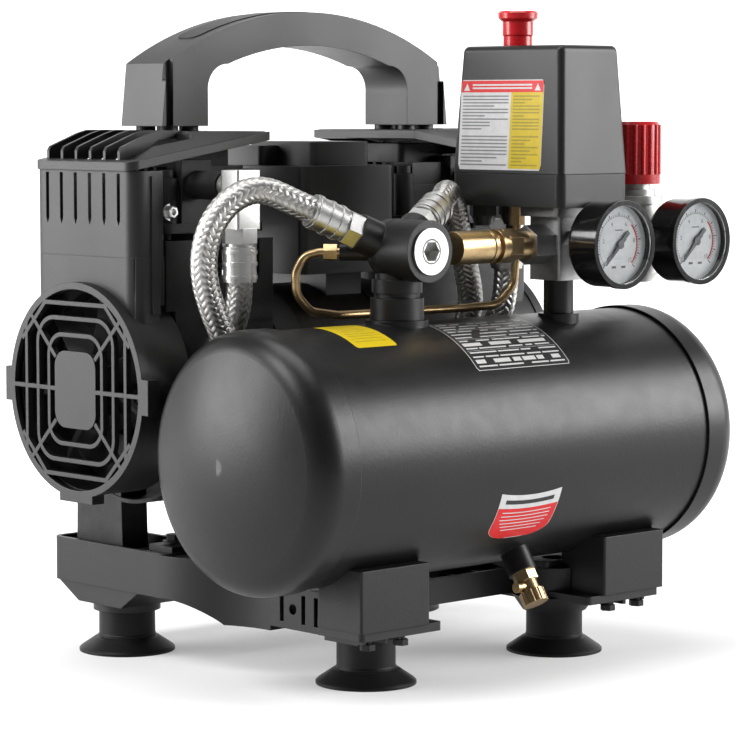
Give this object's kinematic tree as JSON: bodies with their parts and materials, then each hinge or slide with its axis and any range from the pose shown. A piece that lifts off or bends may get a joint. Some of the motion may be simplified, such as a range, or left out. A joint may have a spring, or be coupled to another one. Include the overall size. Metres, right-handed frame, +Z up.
{
  "type": "airbrush compressor",
  "caption": "Compact oil-free compressor: dished steel air tank on rubber feet, twin-cylinder pump behind it, carry handle, pressure switch, gauges, regulator.",
  "frame": {"origin": "centre of the bounding box, on the plane that the feet stand on", "axes": "+X along the tank towards the gauges, +Y from the tank towards the pump, +Z up"},
  "size_m": [0.3795, 0.2946, 0.3976],
  "materials": {
    "tank_coat": "satin powder coat",
    "bracket_coat": "satin powder coat",
    "base_plastic": "moulded, fine grain",
    "cover_plastic": "moulded, fine grain",
    "handle_plastic": "moulded, satin",
    "handle_grip": "soft-touch strip",
    "switch_plastic": "moulded, satin",
    "red_plastic": "moulded, glossy",
    "rubber": "matt",
    "zinc_steel": "zinc plated",
    "lamination": "stacked sheet steel, varnished",
    "copper": "enamelled copper wire",
    "cast_black": "black cast aluminium",
    "aluminium": "machined",
    "fan_plastic": "moulded",
    "chromed_fitting": "nickel plated",
    "steel_braid": "woven stainless wire",
    "brass": "turned brass",
    "die_cast": "die cast",
    "regulator_grey": "die cast, painted",
    "gauge_black": "glossy case",
    "needle_black": "printed",
    "gauge_glass": "clear",
    "coupler_steel": "nickel plated",
    "cable_sheath": "PVC sheath"
  },
  "bodies": {
    "machine": {"base_frame": "base_plastic", "base_screws": "cast_black", "cable_glands": "cover_plastic", "carry_handle": "handle_plastic", "check_valve_body": "bracket_coat", "check_valve_plug": "chromed_fitting", "coupler_body": "coupler_steel", "crankcase_left": "cast_black", "crankcase_right": "cast_black", "cylinder_head_left": "cast_black", "cylinder_head_right": "cast_black", "cylinders": "cast_black", "delivery_hose_left": "steel_braid", "delivery_hose_right": "steel_braid", "drain_body": "brass", "fan_guard_left": "cover_plastic", "fan_guard_right": "cover_plastic", "fan_housing_left": "cover_plastic", "fan_housing_right": "cover_plastic", "foot_bolts": "zinc_steel", "gauge_case_outlet": "gauge_black", "gauge_case_tank": "gauge_black", "gauge_lenses": "gauge_glass", "handle_strip": "handle_grip", "head_bolts": "cast_black", "head_lid_left": "cover_plastic", "head_lid_right": "cover_plastic", "head_shroud_left": "cover_plastic", "head_shroud_right": "cover_plastic", "hose_fittings": "chromed_fitting", "manifold_block": "die_cast", "motor_lead": "cable_sheath", "motor_stator": "lamination", "motor_windings": "copper", "regulator_body": "regulator_grey", "riser_pipe": "bracket_coat", "rubber_mounts": "rubber", "safety_valve_body": "brass", "shaft_bearings": "zinc_steel", "suction_feet": "rubber", "switch_base": "switch_plastic", "switch_cover": "switch_plastic", "tank_brackets": "bracket_coat", "tank_cap_left": "tank_coat", "tank_cap_right": "tank_coat", "tank_shell": "tank_coat", "terminal_box": "cover_plastic", "unloader_tube": "brass"},
    "crank": {"crankshaft": "zinc_steel", "rotor": "lamination", "cooling_fans": "fan_plastic"},
    "piston_l": {"piston_left": "aluminium"},
    "piston_r": {"piston_right": "aluminium"},
    "knob_switch": {"switch_knob": "red_plastic"},
    "knob_regulator": {"regulator_knob": "red_plastic"},
    "valve_cap": {"safety_valve_cap": "brass"},
    "needle_t": {"gauge_needle_tank": "needle_black"},
    "needle_o": {"gauge_needle_outlet": "needle_black"},
    "sleeve": {"coupler_sleeve": "coupler_steel"},
    "drain_screw": {"drain_knob": "brass"}
  },
  "joints": [
    {"name": "crank_spin", "type": "hinge", "parent": "machine", "child": "crank", "pos_m": [0, 0.0773, 0.168], "axis": [1, 0, 0], "continuous": true},
    {"name": "piston_left_stroke", "type": "slide", "parent": "machine", "child": "piston_l", "axis": [0, 0, 1], "range_m": [-0.005, 0.005]},
    {"name": "piston_right_stroke", "type": "slide", "parent": "machine", "child": "piston_r", "axis": [0, 0, 1], "range_m": [-0.005, 0.005]},
    {"name": "switch_knob_press", "type": "slide", "parent": "machine", "child": "knob_switch", "axis": [0, 0, 1], "range_m": [-0.006, 0]},
    {"name": "regulator_turn", "type": "hinge", "parent": "machine", "child": "knob_regulator", "pos_m": [0.145, -0.0857, 0.3], "axis": [0, 0, 1], "range_deg": [-500, 500]},
    {"name": "safety_cap_pull", "type": "slide", "parent": "machine", "child": "valve_cap", "axis": [-1, 0, 0], "range_m": [0, 0.002], "stiffness_N_per_m": 1500},
    {"name": "tank_needle", "type": "hinge", "parent": "machine", "child": "needle_t", "pos_m": [0.075, -0.1407, 0.255], "axis": [0, 1, 0], "range_deg": [0, 270], "stiffness_Nm_per_rad": 0.0005},
    {"name": "outlet_needle", "type": "hinge", "parent": "machine", "child": "needle_o", "pos_m": [0.145, -0.1407, 0.255], "axis": [0, 1, 0], "range_deg": [0, 270], "stiffness_Nm_per_rad": 0.0005},
    {"name": "coupler_sleeve_pull", "type": "slide", "parent": "machine", "child": "sleeve", "axis": [-1, 0, 0], "range_m": [0, 0.004], "stiffness_N_per_m": 600},
    {"name": "drain_turn", "type": "hinge", "parent": "machine", "child": "drain_screw", "pos_m": [0.012, -0.12369, 0.05049], "axis": [0, -0.5299, -0.848], "range_deg": [0, 500]}
  ]
}
